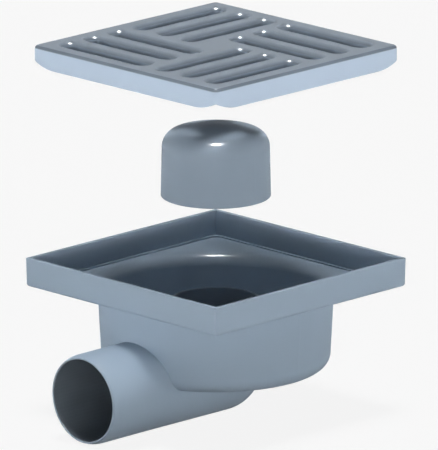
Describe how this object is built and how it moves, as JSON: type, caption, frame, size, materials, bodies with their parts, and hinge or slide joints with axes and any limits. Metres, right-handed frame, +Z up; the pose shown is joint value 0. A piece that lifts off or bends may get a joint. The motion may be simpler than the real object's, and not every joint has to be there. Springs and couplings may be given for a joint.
{
  "type": "gully trap",
  "caption": "Square floor gully with a slotted grate, a domed bell over a standpipe in a round bowl, and a round side outlet, shown lifted apart.",
  "frame": {"origin": "on the bowl's vertical axis, level with the top of the tray's rim, which is the finished floor level", "axes": "+Z up; the outlet leaves along -Y; X and Y square to the tray's sides"},
  "size_m": [0.15, 0.1791, 0.2106],
  "materials": {
    "body_plastic": "moulded, glossy, grey-blue",
    "bell_plastic": "moulded, glossy, grey-blue",
    "grate_plastic": "moulded, glossy, grey-blue"
  },
  "bodies": {
    "trap": {"trap_body": "body_plastic"},
    "bell": {"bell_cup": "bell_plastic"},
    "cover": {"grate": "grate_plastic"}
  },
  "joints": [
    {"name": "bell_lift", "type": "slide", "parent": "trap", "child": "bell", "axis": [0, 0, 1], "range_m": [-0.0828, 0]},
    {"name": "grate_lift", "type": "slide", "parent": "bell", "child": "cover", "axis": [0, 0, 1], "range_m": [-0.0411, 0]}
  ]
}
